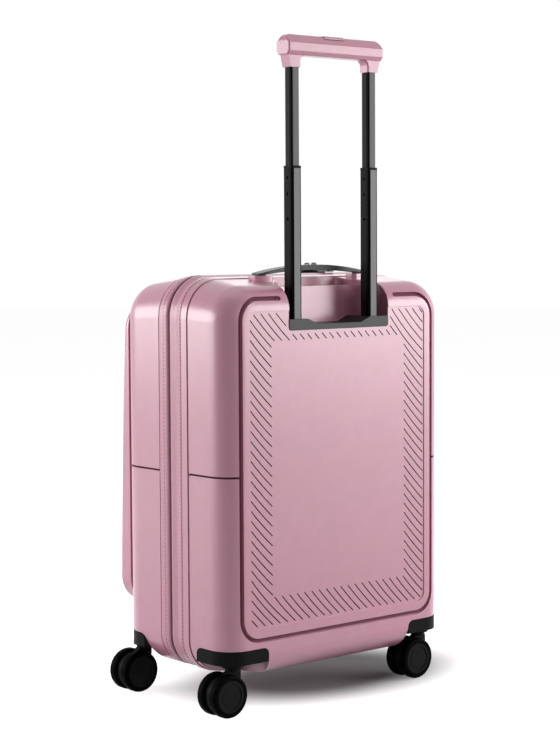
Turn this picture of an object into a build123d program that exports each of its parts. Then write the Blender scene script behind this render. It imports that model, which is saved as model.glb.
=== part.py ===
"""Cabin suitcase: two hard shells, an expander band, a front pocket, a two stage trolley and four casters.

Millimetres. +Z is up, X runs across the case, the trolley side faces -Y and the pocket +Y.
The origin is on the floor under the middle of the case.
"""
import math
import os

from build123d import *

os.makedirs("parts", exist_ok=True)

# Case outline, seen from the front
case_width = 380.0
shell_bottom = 45.0
shell_top = 550.0
top_corner = 53.0
corner_fall = 0.09
top_fall = 0.14
bottom_corner = 45.0

# Depths along Y, from the back face to the pocket door
back_y = -128.15
rear_depth = 87.0
band_depth = 26.2
zip_gap = 3.0
tape_depth = 18.5
front_depth = 88.3
pocket_zip_depth = 7.0

# Walls and edges of the shells
wall = 4.0
back_edge = 32.0
front_edge = 41.0
fabric = 3.6
bead_width = 11.0
bead_proud = 1.0
bead_line = 1.6
bead_line_depth = 1.0
teeth_inset = 1.2
gusset_thick = 1.2

# Clearances
run_gap = 0.3
seat_gap = 0.3
pin_gap = 0.05

# Back panel
frame_half_width = 165.0
frame_bottom = 93.0
frame_top = 521.0
frame_end = 100.0
frame_corner = 28.0
frame_width = 5.6
frame_depth = 3.6
panel_half_width = 152.0
panel_bottom = 108.0
panel_top = 505.0
panel_corner = 12.0
panel_depth = 1.0
hatch_pitch = 12.5
hatch_width = 1.4
hatch_depth = 0.9
hatch_margin = 2.2
hatch_band = 37.0
hatch_radius = 350.0
hatch_step = 0.5
hatch_shortest = 4.0
plate_margin = 4.5
side_line_z = 300.0
side_line_width = 4.0
side_line_depth = 1.4

# Trolley recess and its base plate
recess_width = 172.0
recess_depth = 46.0
recess_height = 70.0
recess_corner = 34.0
ledge_height = 16.0
ledge_depth = 6.0
plate_height = 14.0
plate_dip = 7.0
plate_dip_half = 37.0
plate_dip_slope = 17.0
plate_corner = 4.0

# Trolley tubes
tube_half_spacing = 66.0
tube_inset = 16.0
mid_size = (16.0, 18.0)
upper_size = (13.0, 15.0)
tube_wall = 1.2
outer_wall = 1.5
tube_corner = 3.0
mid_exposed = 190.0
upper_exposed = 123.0
stage_overlap = 44.0
outer_length = 340.0
bush_height = 3.0
bush_proud = 0.3
lock_hole = 2.0
lock_hole_drops = (12.0, 32.0, 64.0)
foot_height = 22.0
foot_floor = 6.0
foot_side = 7.0

# Grip, its button and the release link inside it
grip_half = 81.0
leg_height = 15.0
bar_height = 26.0
bar_depth = 25.0
bar_top_flat = 6.0
bar_slope = 10.0
bar_foot = 18.0
bar_foot_rise = 5.0
bar_edge = 2.5
bar_end_round = 9.0
bar_end_edge = 2.0
leg_depth = 16.0
leg_taper = 5.0
leg_bend = 8.0
leg_edge = 2.0
plug_length = 26.0
button_length = 35.0
button_width = 13.0
button_thick = 3.8
button_proud = 0.8
button_travel = 4.0
button_stem = (9.0, 5.0)
link_bar = (5.0, 4.0)
link_drop = 14.3
rod_radius = 2.5
rod_length = 150.0

# Carry handle on top
carry_y_from_back = 58.0
carry_half = 93.0
carry_depth = 20.0
carry_corner = 5.0
carry_peak = 11.5
carry_thick = 7.0
carry_tip = 2.4
carry_foot = 548.5
carry_leg_x = 84.0
carry_leg = (6.0, 14.0)
carry_leg_length = 31.0
carry_stop = (9.0, 18.0, 4.0)
carry_mount = (30.0, 20.0)
carry_mount_corner = 6.0
trough_half = 62.0
trough_depth = 30.0
trough_corner = 9.0

# Front pocket
opening_half = 138.0
opening_bottom = 124.0
opening_top = 488.0
opening_corner = 24.0
door_half = 168.0
door_bottom = 110.0
door_top = 514.0
door_corner = 36.0
door_edge = 9.0
door_depths = (27.5, 21.3, 10.0)
door_wall = 3.0
pocket_zip_thick = 3.0
pocket_zip_inset = 2.0
pocket_zip_skirt = 6.0
liner_wall = 2.0
liner_depth = 31.0
liner_margin = 8.0

# Lock and zip pulls
lock_x = 79.0
lock_size = (40.0, 20.0, 7.0)
lock_setback = 1.5
lock_edge = 2.0
pull_spacing = 12.5
pull_width = 7.0
pull_thick = 3.0
pull_head = 12.5
pull_strap = 2.0
slider_length = 10.0

# Casters
caster_inset_x = 27.0
caster_inset_back = 23.5
caster_inset_front = 13.0
well_radius = 47.0
well_top = 83.0
well_round = 8.0
bracket_bottom = 65.0
boss_radius = 13.5
boss_height = 5.0
stem_radius = 9.5
stem_bottom = 55.2
trail = 16.5
wheel_radius = 27.2
wheel_width = 12.6
fork_width = 10.0
fork_radius = 23.0
twin_gap = 0.4
tyre_depth = 6.8
tyre_round = 3.2
hub_ring = (13.2, 16.6)
hub_ring_depth = 0.9
hub_dish = 0.5
hub_face = 1.6
pin_radius = 4.0
pin_bottom = 43.0
pin_top = 79.0
axle_radius = 3.0

# Planes that the pieces share
rear_rim_y = back_y + rear_depth
band_start = rear_rim_y + run_gap
band_end = band_start + band_depth
tape_start = band_end + zip_gap
zip_y = band_end + zip_gap / 2
front_rim_y = tape_start + tape_depth
front_y = front_rim_y + front_depth
door_back_y = front_y + pocket_zip_depth + run_gap
recess_floor = shell_top - recess_height
tube_y = back_y + tube_inset
plate_top = recess_floor + plate_height
mid_top = plate_top + mid_exposed
bush_top = mid_top + bush_height
grip_foot = bush_top + upper_exposed
bar_bottom = grip_foot + leg_height
bar_top = bar_bottom + bar_height
carry_y = back_y + carry_y_from_back
rear_caster_y = back_y + caster_inset_back
front_caster_y = front_y - caster_inset_front
caster_x = case_width / 2 - caster_inset_x
outer_size = (mid_size[0] + 2 * run_gap + 2 * outer_wall, mid_size[1] + 2 * run_gap + 2 * outer_wall)
outer_top = recess_floor + plate_dip - run_gap
outer_bottom = outer_top - outer_length


# Shared shapes

def case_outline(y, inset):
    """Front view of the case at one depth, drawn in by inset; the top falls away from the zip."""
    distance = abs(y - zip_y)
    top = shell_top - top_fall * distance - inset
    bottom = shell_bottom + inset
    with BuildSketch(Plane.XZ.offset(-y)) as outline:
        with Locations((0, (top + bottom) / 2)):
            Rectangle(case_width - 2 * inset, top - bottom)
        fillet(outline.vertices().group_by(Axis.Y)[-1], top_corner - corner_fall * distance - inset)
        fillet(outline.vertices().group_by(Axis.Y)[0], bottom_corner - inset)
    return outline.sketch


def case_block(y_start, y_end, inset):
    """Solid slice of the case between two depths on one side of the zip."""
    with BuildPart() as block:
        add(case_outline(y_start, inset))
        add(case_outline(y_end, inset))
        loft(ruled=True)
    return block.part


def shell_block(y_open, y_face, inset, edge):
    """Solid half of the case from its open plane to its closed face, with a rounded face edge."""
    with BuildPart() as block:
        add(case_block(y_open, y_face, inset))
        ends = block.faces().filter_by(Axis.Y).sort_by(Axis.Y)
        closed = ends[0] if y_face < y_open else ends[-1]
        fillet(closed.edges(), edge - inset)
    return block.part


def outline_ring(y_start, y_end, outer_inset, inner_inset):
    """Flat-ended ring that follows the front view of the case."""
    with BuildPart() as ring:
        add(case_block(y_start, y_end, outer_inset))
        add(case_block(y_start, y_end, inner_inset), mode=Mode.SUBTRACT)
    return ring.part


def rounded_tube_section(size, grow=0.0):
    """Rounded rectangle of a trolley tube, grown all round."""
    with BuildSketch() as section:
        RectangleRounded(size[0] + 2 * grow, size[1] + 2 * grow, tube_corner + grow)
    return section.sketch


def front_panel(half, bottom, top, corner):
    """Rounded panel outline in the front view."""
    with BuildSketch() as panel:
        with Locations((0, (bottom + top) / 2)):
            RectangleRounded(2 * half, top - bottom, corner)
    return panel.sketch


def caster_well(x, y, grow):
    """Round wheel well under one corner of the case."""
    with BuildPart() as well:
        with BuildSketch(Plane.XY):
            with Locations((x, y)):
                Circle(well_radius + grow)
        extrude(amount=well_top + grow)
        fillet(well.faces().sort_by(Axis.Z)[-1].edges(), well_round + grow)
    return well.part


def recess_column(bottom, deeper, grow):
    """Upright prism with the plan of the trolley niche, run up past the top of the case."""
    reach = recess_depth + deeper + grow
    with BuildPart() as column:
        with BuildSketch(Plane.XY.offset(bottom)) as plan:
            with Locations((0, back_y + reach - recess_depth)):
                Rectangle(recess_width + 2 * grow, 2 * recess_depth)
            fillet(plan.vertices().group_by(Axis.Y)[-1], recess_corner + grow)
        extrude(amount=shell_top + wall - bottom)
    return column.part


def trolley_recess(grow):
    """Niche for the trolley, open to the back and the top, with a ledge round its upper edge."""
    floor = recess_floor - grow
    with BuildPart() as recess:
        with BuildSketch(Plane.XZ.offset(recess_depth - back_y)) as front:
            with Locations((0, (floor + shell_top + wall) / 2)):
                Rectangle(recess_width + 2 * grow, shell_top + wall - floor)
            fillet(front.vertices().group_by(Axis.Y)[0], plate_corner + grow)
        extrude(amount=-3 * recess_depth)
        add(recess_column(floor, 0, grow), mode=Mode.INTERSECT)
        add(recess_column(shell_top - ledge_height - grow, ledge_depth, grow))
    return recess.part


def finger_trough(grow):
    """Dip in the top under the carry handle, level with the ledge of the niche."""
    with BuildPart() as trough:
        with BuildSketch(Plane.XY.offset(shell_top - ledge_height - grow)):
            with Locations((0, carry_y)):
                RectangleRounded(2 * (trough_half + grow), trough_depth + 2 * grow, trough_corner + grow)
        extrude(amount=ledge_height + grow + wall)
    return trough.part


def side_lines(y_open, y_face, edge):
    """Cutter for the level line pressed into both side walls of one shell."""
    length = abs(y_face - y_open)
    with BuildPart() as lines:
        with Locations((0, (y_open + y_face) / 2, side_line_z)):
            Box(case_width, length, side_line_width)
            Box(2 * frame_half_width, length, side_line_width, mode=Mode.SUBTRACT)
        add(shell_block(y_open, y_face, side_line_depth, edge), mode=Mode.SUBTRACT)
    return lines.part


def plan_block(bottom, top):
    """Upright block with the plan of the closed case, used to trim the caster brackets."""
    with BuildPart() as block:
        with BuildSketch(Plane.XY.offset(bottom)) as plan:
            with Locations((0, (back_y + front_y) / 2)):
                Rectangle(case_width, front_y - back_y)
            fillet(plan.vertices().group_by(Axis.Y)[0], back_edge)
            fillet(plan.vertices().group_by(Axis.Y)[-1], front_edge)
        extrude(amount=top - bottom)
    return block.part


def write(piece, name):
    """Label one finished piece and write it as its own file."""
    piece.label = name
    export_step(piece, f"parts/{name}.step")


# Rear shell

with BuildPart() as rear_cavity:
    add(shell_block(rear_rim_y + wall, back_y + wall, wall, back_edge))
    add(trolley_recess(wall), mode=Mode.SUBTRACT)
    add(finger_trough(wall), mode=Mode.SUBTRACT)
    for side in (-1, 1):
        add(caster_well(side * caster_x, rear_caster_y, wall), mode=Mode.SUBTRACT)

bead_start = rear_rim_y - bead_width
frame_points = [
    (-frame_end, frame_top),
    (-frame_half_width, frame_top),
    (-frame_half_width, frame_bottom),
    (frame_half_width, frame_bottom),
    (frame_half_width, frame_top),
    (frame_end, frame_top),
]

with BuildPart() as frame_groove:
    with BuildSketch(Plane.XZ.offset(-back_y)):
        with BuildLine():
            FilletPolyline(*frame_points, radius=frame_corner)
        trace(line_width=frame_width)
        with Locations((-frame_end, frame_top), (frame_end, frame_top)):
            Circle(frame_width / 2)
    extrude(amount=-back_edge / 2)
    add(shell_block(rear_rim_y, back_y + frame_depth, frame_depth, back_edge), mode=Mode.SUBTRACT)


def rounded_inside(x, z, half, bottom, top, corner):
    """Whether a point of the back view lies in a rounded rectangle."""
    over_x = max(abs(x) - half + corner, 0)
    over_z = max(abs(z - (bottom + top) / 2) - (top - bottom) / 2 + corner, 0)
    return math.hypot(over_x, over_z) < corner


def in_hatch(x, z):
    """Whether a point of the back panel lies in its hatched border."""
    corner = panel_corner - hatch_margin
    if not rounded_inside(x, z, panel_half_width - hatch_margin, panel_bottom + hatch_margin,
                          panel_top - hatch_margin, corner):
        return False
    if rounded_inside(x, z, panel_half_width - hatch_band, panel_bottom + hatch_band,
                      panel_top - hatch_band, hatch_step):
        return False
    return not rounded_inside(x, z, recess_width / 2 + plate_margin, recess_floor - plate_margin,
                              panel_top + recess_height, plate_corner + plate_margin)


def hatch_runs():
    """Ends of every hatch line: lines falling to the right at 45 degrees, cut to the border."""
    runs = []
    span = panel_half_width + panel_top
    rows = int(span / hatch_pitch)
    for row in range(-rows, rows):
        inside = []
        steps = int(2 * panel_half_width / hatch_step)
        for step in range(steps + 1):
            x = -panel_half_width + step * hatch_step
            z = panel_bottom + row * hatch_pitch - x
            if in_hatch(x, z):
                inside.append((x, z))
            elif inside:
                runs.append((inside[0], inside[-1]))
                inside = []
    return [run for run in runs if run[1][0] - run[0][0] > hatch_shortest]


with BuildPart() as hatch:
    with BuildSketch(Plane.XZ.offset(-back_y - panel_depth)):
        for (x_start, z_start), (x_end, z_end) in hatch_runs():
            length = math.hypot(x_end - x_start, z_end - z_start)
            bow = length ** 2 / (8 * hatch_radius * math.sqrt(2))
            across = hatch_width / (2 * math.sqrt(2))
            middle = ((x_start + x_end) / 2 - bow, (z_start + z_end) / 2 - bow)
            with BuildLine():
                upper = ThreePointArc((x_start + across, z_start + across),
                                      (middle[0] + across, middle[1] + across),
                                      (x_end + across, z_end + across))
                lower = ThreePointArc((x_start - across, z_start - across),
                                      (middle[0] - across, middle[1] - across),
                                      (x_end - across, z_end - across))
                Line(upper @ 0, lower @ 0)
                Line(upper @ 1, lower @ 1)
            make_face()
    extrude(amount=-hatch_depth)

with BuildPart() as rear_shell:
    add(shell_block(rear_rim_y, back_y, 0, back_edge))
    add(outline_ring(bead_start, rear_rim_y, -bead_proud, wall))
    add(trolley_recess(0), mode=Mode.SUBTRACT)
    add(rear_cavity.part, mode=Mode.SUBTRACT)
    add(finger_trough(0), mode=Mode.SUBTRACT)
    for side in (-1, 1):
        add(caster_well(side * caster_x, rear_caster_y, 0), mode=Mode.SUBTRACT)
    # Line beside the rim bead
    add(outline_ring(bead_start - bead_line, bead_start, -bead_proud, bead_line_depth), mode=Mode.SUBTRACT)
    add(side_lines(bead_start - bead_line, back_y, back_edge), mode=Mode.SUBTRACT)
    # Frame groove round the back panel, left open over the trolley
    add(frame_groove.part, mode=Mode.SUBTRACT)
    # Sunk back panel with its hatched border
    with BuildSketch(Plane.XZ.offset(-back_y)):
        add(front_panel(panel_half_width, panel_bottom, panel_top, panel_corner))
    extrude(amount=-panel_depth, mode=Mode.SUBTRACT)
    add(hatch.part, mode=Mode.SUBTRACT)
    # Passages for the outer tubes and the carry handle legs
    with BuildSketch(Plane.XY.offset(recess_floor)):
        for side in (-1, 1):
            with Locations((side * tube_half_spacing, tube_y)):
                add(rounded_tube_section(outer_size, seat_gap))
    extrude(amount=-2 * wall, mode=Mode.SUBTRACT)
    with BuildSketch(Plane.XY.offset(shell_top)):
        with Locations((-carry_leg_x, carry_y), (carry_leg_x, carry_y)):
            Rectangle(carry_leg[0] + 2 * run_gap, carry_leg[1] + 2 * run_gap)
    extrude(amount=-ledge_height, mode=Mode.SUBTRACT)
write(rear_shell.part, "rear_shell")


# Trolley base plate, with a lower middle and a seat for each outer tube

plate_half = recess_width / 2 - seat_gap
plate_points = [
    (-plate_half, recess_floor),
    (plate_half, recess_floor),
    (plate_half, plate_top),
    (plate_dip_half + plate_dip_slope, plate_top),
    (plate_dip_half, plate_top - plate_dip),
    (-plate_dip_half, plate_top - plate_dip),
    (-plate_dip_half - plate_dip_slope, plate_top),
    (-plate_half, plate_top),
]

with BuildPart() as base_plate:
    with BuildSketch(Plane.XZ.offset(-back_y)) as front:
        with BuildLine():
            Polyline(*plate_points, close=True)
        make_face()
        fillet(front.vertices().group_by(Axis.Y)[0], plate_corner)
    extrude(amount=-recess_depth)
    add(recess_column(recess_floor, 0, -seat_gap), mode=Mode.INTERSECT)
    with BuildSketch(Plane.XY.offset(recess_floor)):
        for side in (-1, 1):
            with Locations((side * tube_half_spacing, tube_y)):
                add(rounded_tube_section(outer_size, seat_gap))
    extrude(amount=plate_dip, mode=Mode.SUBTRACT)
    with BuildSketch(Plane.XY.offset(recess_floor)):
        for side in (-1, 1):
            with Locations((side * tube_half_spacing, tube_y)):
                add(rounded_tube_section(mid_size, run_gap))
    extrude(amount=plate_height, mode=Mode.SUBTRACT)
write(base_plate.part, "base_plate")


# Trolley tubes: outer tubes in the case, mid and upper stages sliding in them

def tube(side, size, thickness, bottom, top):
    """Upright rectangular tube at one side of the trolley."""
    with BuildPart() as piece:
        with BuildSketch(Plane.XY.offset(bottom)):
            with Locations((side * tube_half_spacing, tube_y)):
                add(rounded_tube_section(size))
                add(rounded_tube_section(size, -thickness), mode=Mode.SUBTRACT)
        extrude(amount=top - bottom)
    return piece.part


def lock_holes(side):
    """Row of detent holes in the outward face of a mid tube on the left, inward on the right."""
    face_x = side * tube_half_spacing - mid_size[0] / 2
    with BuildPart() as holes:
        for drop in lock_hole_drops:
            with BuildSketch(Plane.YZ.offset(face_x - tube_wall)):
                with Locations((tube_y, mid_top - drop)):
                    Circle(lock_hole)
            extrude(amount=3 * tube_wall)
    return holes.part


mid_bottom = plate_top - stage_overlap
upper_bottom = mid_top - stage_overlap
sides = {"left": -1, "right": 1}

for side_name, side in sides.items():
    write(tube(side, outer_size, outer_wall, outer_bottom, outer_top), f"outer_tube_{side_name}")
    with BuildPart() as mid_tube:
        add(tube(side, mid_size, tube_wall, mid_bottom, mid_top))
        add(lock_holes(side), mode=Mode.SUBTRACT)
    write(mid_tube.part, f"mid_tube_{side_name}")
    write(tube(side, upper_size, tube_wall, upper_bottom, grip_foot), f"upper_tube_{side_name}")

with BuildPart() as mid_bushes:
    with BuildSketch(Plane.XY.offset(mid_top)):
        for side in sides.values():
            with Locations((side * tube_half_spacing, tube_y)):
                add(rounded_tube_section(mid_size, bush_proud))
                add(rounded_tube_section(upper_size, run_gap), mode=Mode.SUBTRACT)
    extrude(amount=bush_height)
write(mid_bushes.part, "mid_bushes")

# Foot that ties both outer tubes to the back wall
foot_bottom = outer_bottom - foot_floor
foot_depth = outer_size[1] / 2 + foot_side + tube_inset - wall

with BuildPart() as tube_foot:
    with BuildSketch(Plane.XY.offset(foot_bottom)):
        with Locations((0, back_y + wall + foot_depth / 2)):
            Rectangle(2 * tube_half_spacing + outer_size[0] + 2 * foot_side, foot_depth)
    extrude(amount=foot_height)
    fillet(tube_foot.edges().filter_by(Axis.Z).group_by(Axis.Y)[-1], foot_side)
    with BuildSketch(Plane.XY.offset(outer_bottom)):
        for side in sides.values():
            with Locations((side * tube_half_spacing, tube_y)):
                add(rounded_tube_section(outer_size, seat_gap))
    extrude(amount=foot_height, mode=Mode.SUBTRACT)
write(tube_foot.part, "tube_foot")


# Grip with its button and release link

def bar_profile(grow):
    """Cross-section of the grip bar: flat top, sloping shoulders, upright sides and a narrow foot."""
    half = bar_depth / 2 + grow
    foot = bar_foot / 2 + grow
    flat = bar_top_flat / 2 + grow
    top = bar_top + grow
    right_side = [
        (foot, bar_bottom - grow),
        (half, bar_bottom + bar_foot_rise),
        (half, top - bar_slope),
        (flat, top),
    ]
    left_side = [(-across, height) for across, height in reversed(right_side)]
    with BuildSketch() as profile:
        with BuildLine():
            Polyline(*[(tube_y + across, height) for across, height in right_side + left_side], close=True)
        make_face()
        fillet(profile.vertices(), bar_edge)
    return profile.sketch


def bar_block(half_length, grow):
    """Grip bar profile run along X."""
    with BuildPart() as block:
        with BuildSketch(Plane.YZ.offset(-half_length)):
            add(bar_profile(grow))
        extrude(amount=2 * half_length)
    return block.part


link_top = bar_top - link_drop
slot_top = link_top + run_gap
link_bottom = link_top - link_bar[1]
well_floor = bar_top + button_proud - button_thick - button_travel - run_gap

leg_foot = upper_size[0] / 2 + leg_edge
leg_top = bar_bottom + bar_foot_rise
bend_end = tube_half_spacing - leg_foot - leg_bend
bend_middle = leg_bend * math.sqrt(0.5)


def grip_leg(side):
    """Leg of the grip seen from the back: flush with the bar's end, with a bend into the bar."""
    foot_x, top_x = tube_half_spacing + leg_foot, tube_half_spacing + leg_foot + leg_taper
    inner_x = bend_end + leg_bend
    with BuildPart() as leg:
        with BuildSketch(Plane.XZ.offset(-(tube_y - leg_depth / 2))):
            with BuildLine():
                Polyline((side * inner_x, bar_bottom - leg_bend), (side * inner_x, grip_foot),
                         (side * foot_x, grip_foot), (side * top_x, leg_top), (side * bend_end, leg_top),
                         (side * bend_end, bar_bottom))
                ThreePointArc((side * bend_end, bar_bottom),
                              (side * (bend_end + bend_middle), bar_bottom - leg_bend + bend_middle),
                              (side * inner_x, bar_bottom - leg_bend))
            make_face()
        extrude(amount=-leg_depth)
        fillet(leg.edges().filter_by(Axis.Z), leg_edge)
    return leg.part


with BuildPart() as grip:
    add(bar_block(grip_half, 0))
    fillet(grip.faces().filter_by(Axis.X).edges(), bar_end_edge)
    with BuildSketch(Plane.XZ.offset(-(tube_y - bar_depth))) as back_view:
        with Locations((0, (bar_bottom + bar_top) / 2)):
            Rectangle(2 * grip_half, bar_height)
        fillet(back_view.vertices().group_by(Axis.Y)[-1], bar_end_round)
    extrude(amount=-2 * bar_depth, mode=Mode.INTERSECT)
    for side in sides.values():
        add(grip_leg(side))
        with BuildSketch(Plane.XY.offset(grip_foot)):
            with Locations((side * tube_half_spacing, tube_y)):
                add(rounded_tube_section(upper_size, -tube_wall - pin_gap))
        extrude(amount=-plug_length)
    # Space for the link bar, its rods and the button
    link_reach = tube_half_spacing + rod_radius + run_gap
    with Locations((0, tube_y, (link_bottom - button_travel - run_gap + slot_top) / 2)):
        Box(2 * link_reach, link_bar[0] + 2 * run_gap, slot_top - link_bottom + button_travel + run_gap,
            mode=Mode.SUBTRACT)
    with BuildSketch(Plane.XY.offset(slot_top)):
        with Locations((-tube_half_spacing, tube_y), (tube_half_spacing, tube_y)):
            Circle(rod_radius + run_gap)
    extrude(amount=-(slot_top - grip_foot + plug_length), mode=Mode.SUBTRACT)
    with BuildSketch(Plane.XY.offset(well_floor)):
        with Locations((0, tube_y)):
            RectangleRounded(button_length + 2 * run_gap, button_width + 2 * run_gap, tube_corner)
    extrude(amount=bar_height, mode=Mode.SUBTRACT)
    with BuildSketch(Plane.XY.offset(slot_top)):
        with Locations((0, tube_y)):
            Rectangle(button_stem[0] + 2 * run_gap, button_stem[1] + 2 * run_gap)
    extrude(amount=well_floor - slot_top, mode=Mode.SUBTRACT)
write(grip.part, "grip")

with BuildPart() as grip_button:
    with BuildSketch(Plane.XY.offset(bar_top + button_proud - button_thick)):
        with Locations((0, tube_y)):
            RectangleRounded(button_length, button_width, tube_corner - run_gap)
    extrude(amount=bar_height)
    add(bar_block(button_length, button_proud), mode=Mode.INTERSECT)
    with BuildSketch(Plane.XY.offset(link_top)):
        with Locations((0, tube_y)):
            Rectangle(*button_stem)
    extrude(amount=bar_top + button_proud - button_thick - link_top)
write(grip_button.part, "grip_button")

with BuildPart() as release_link:
    with Locations((0, tube_y, (link_top + link_bottom) / 2)):
        Box(2 * (tube_half_spacing + rod_radius), link_bar[0], link_bar[1])
    with BuildSketch(Plane.XY.offset(link_bottom)):
        with Locations((-tube_half_spacing, tube_y), (tube_half_spacing, tube_y)):
            Circle(rod_radius)
    extrude(amount=-rod_length)
write(release_link.part, "release_link")


# Carry handle: an arched strap on two legs that slide in the top of the rear shell

strap_tip_top = carry_foot + seat_gap + carry_tip
strap_peak = shell_top + carry_peak

with BuildPart() as carry_handle:
    with BuildSketch(Plane.XZ.offset(-(carry_y - carry_depth / 2))):
        with BuildLine():
            upper = ThreePointArc((-carry_half, strap_tip_top), (0, strap_peak), (carry_half, strap_tip_top))
            lower = ThreePointArc((-carry_half, strap_tip_top - carry_tip), (0, strap_peak - carry_thick),
                                  (carry_half, strap_tip_top - carry_tip))
            Line(upper @ 0, lower @ 0)
            Line(upper @ 1, lower @ 1)
        make_face()
    extrude(amount=-carry_depth)
    fillet(carry_handle.edges().filter_by(Axis.Z), carry_corner)
    with BuildSketch(Plane.XY.offset(strap_tip_top - carry_tip / 2)):
        with Locations((-carry_leg_x, carry_y), (carry_leg_x, carry_y)):
            Rectangle(*carry_leg)
    extrude(amount=-carry_leg_length)
    leg_end = strap_tip_top - carry_tip / 2 - carry_leg_length
    with BuildSketch(Plane.XY.offset(leg_end)):
        with Locations((-carry_leg_x, carry_y), (carry_leg_x, carry_y)):
            Rectangle(carry_stop[0], carry_stop[1])
    extrude(amount=carry_stop[2])
write(carry_handle.part, "carry_handle")

for side_name, side in sides.items():
    with BuildPart() as mount:
        with BuildSketch(Plane.XY.offset(carry_foot)):
            with Locations((side * carry_leg_x, carry_y)):
                RectangleRounded(carry_mount[0], carry_mount[1], carry_mount_corner)
                Rectangle(carry_leg[0] + 2 * run_gap, carry_leg[1] + 2 * run_gap, mode=Mode.SUBTRACT)
        extrude(amount=-ledge_height)
        add(case_block(rear_rim_y, back_y, 0), mode=Mode.SUBTRACT)
    write(mount.part, f"carry_mount_{side_name}")


# Sewn band, gusset and main zip between the shells

tooth_depth = (zip_gap - 2 * run_gap) / 2
gusset_inset = wall + 2 * run_gap

write(outline_ring(band_start, band_end, 0, fabric), "expander_band")
gusset_ends = (rear_rim_y - 2 * wall, band_end - wall)
write(outline_ring(*gusset_ends, gusset_inset, gusset_inset + gusset_thick), "gusset")
write(outline_ring(band_end, band_end + tooth_depth, teeth_inset, fabric), "rear_zip_teeth")
write(outline_ring(tape_start - tooth_depth, tape_start, teeth_inset, fabric), "front_zip_teeth")
write(outline_ring(tape_start, front_rim_y, 0, fabric), "front_zip_tape")


# Front shell with the pocket opening

with BuildPart() as front_cavity:
    add(shell_block(front_rim_y - wall, front_y - wall, wall, front_edge))
    for side in (-1, 1):
        add(caster_well(side * caster_x, front_caster_y, wall), mode=Mode.SUBTRACT)

with BuildPart() as front_shell:
    add(shell_block(front_rim_y, front_y, 0, front_edge))
    for side in (-1, 1):
        add(caster_well(side * caster_x, front_caster_y, 0), mode=Mode.SUBTRACT)
    add(side_lines(front_rim_y, front_y, front_edge), mode=Mode.SUBTRACT)
    with BuildSketch(Plane.XZ.offset(-front_y)):
        add(front_panel(opening_half, opening_bottom, opening_top, opening_corner))
    extrude(amount=2 * wall, mode=Mode.SUBTRACT)
    add(front_cavity.part, mode=Mode.SUBTRACT)
write(front_shell.part, "front_shell")

with BuildPart() as pocket_liner:
    for shrink, floor, mode in ((0, 0, Mode.ADD), (liner_wall, liner_wall, Mode.SUBTRACT)):
        with BuildSketch(Plane.XZ.offset(-(front_y - wall))):
            add(front_panel(opening_half + liner_margin - shrink, opening_bottom - liner_margin + shrink,
                            opening_top + liner_margin - shrink, opening_corner + liner_margin - shrink))
        extrude(amount=liner_depth - floor, mode=mode)
write(pocket_liner.part, "pocket_liner")

with BuildPart() as pocket_zip:
    with BuildSketch(Plane.XZ.offset(pocket_zip_skirt - front_y)):
        for shrink, mode in ((0, Mode.ADD), (pocket_zip_thick, Mode.SUBTRACT)):
            inset = pocket_zip_inset + shrink
            add(front_panel(door_half - inset, door_bottom + inset, door_top - inset, door_corner - inset),
                mode=mode)
    extrude(amount=-(pocket_zip_skirt + pocket_zip_depth))
    add(shell_block(front_rim_y, front_y + seat_gap, -seat_gap, front_edge), mode=Mode.SUBTRACT)
write(pocket_zip.part, "pocket_zip")


def door_block(inset):
    """Block of the pocket door, thicker at the foot, drawn in by inset on every side but the back."""
    low, mid, high = [door_back_y + depth - inset for depth in door_depths]
    with BuildPart() as block:
        with BuildSketch(Plane.YZ.offset(-door_half)):
            with BuildLine():
                face = ThreePointArc((low, door_bottom), (mid, (door_bottom + door_top) / 2),
                                     (high, door_top))
                Polyline(face @ 0, (door_back_y, door_bottom), (door_back_y, door_top), face @ 1)
            make_face()
        extrude(amount=2 * door_half)
        with BuildSketch(Plane.XZ.offset(-door_back_y)):
            add(front_panel(door_half - inset, door_bottom + inset, door_top - inset, door_corner - inset))
        extrude(amount=-2 * door_depths[0], mode=Mode.INTERSECT)
        fillet(block.faces().sort_by(Axis.Y)[-1].edges(), door_edge - inset)
    return block.part


with BuildPart() as pocket_door:
    add(door_block(0))
    add(door_block(door_wall), mode=Mode.SUBTRACT)
write(pocket_door.part, "pocket_door")


# Lock on top of the front shell, with the two zip pulls docked in it

lock_y = front_rim_y + lock_setback + lock_size[1] / 2
lock_floor = shell_top + lock_edge
pull_xs = (lock_x - pull_spacing / 2, lock_x + pull_spacing / 2)
dock_length = (lock_size[1] + pull_thick) / 2 + seat_gap
dock_y = lock_y - (lock_size[1] - dock_length) / 2

with BuildPart() as lock_body:
    with BuildSketch(Plane.XY.offset(shell_top - lock_size[2])):
        with Locations((lock_x, lock_y)):
            RectangleRounded(lock_size[0], lock_size[1], 2 * lock_edge)
    extrude(amount=2 * lock_size[2])
    add(case_block(front_rim_y, front_y, 0), mode=Mode.SUBTRACT)
    chamfer(lock_body.faces().sort_by(Axis.Z)[-1].edges(), lock_edge / 2)
    with BuildSketch(Plane.XY.offset(lock_floor)):
        with Locations(*[(x, dock_y) for x in pull_xs]):
            Rectangle(pull_width + 2 * seat_gap, dock_length)
    extrude(amount=lock_size[2], mode=Mode.SUBTRACT)
write(lock_body.part, "lock_body")

# Side view of a pull: slider on the zip, strap to the lock and upright head
pull_points = [
    (zip_y - slider_length / 2, shell_top + seat_gap),
    (zip_y + slider_length / 2, shell_top + seat_gap),
    (zip_y + slider_length / 2, lock_floor),
    (lock_y + pull_thick / 2, lock_floor),
    (lock_y + pull_thick / 2, shell_top + pull_head),
    (lock_y - pull_thick / 2, shell_top + pull_head),
    (lock_y - pull_thick / 2, lock_floor + pull_strap),
    (zip_y - slider_length / 2, lock_floor + pull_strap),
]

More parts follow.
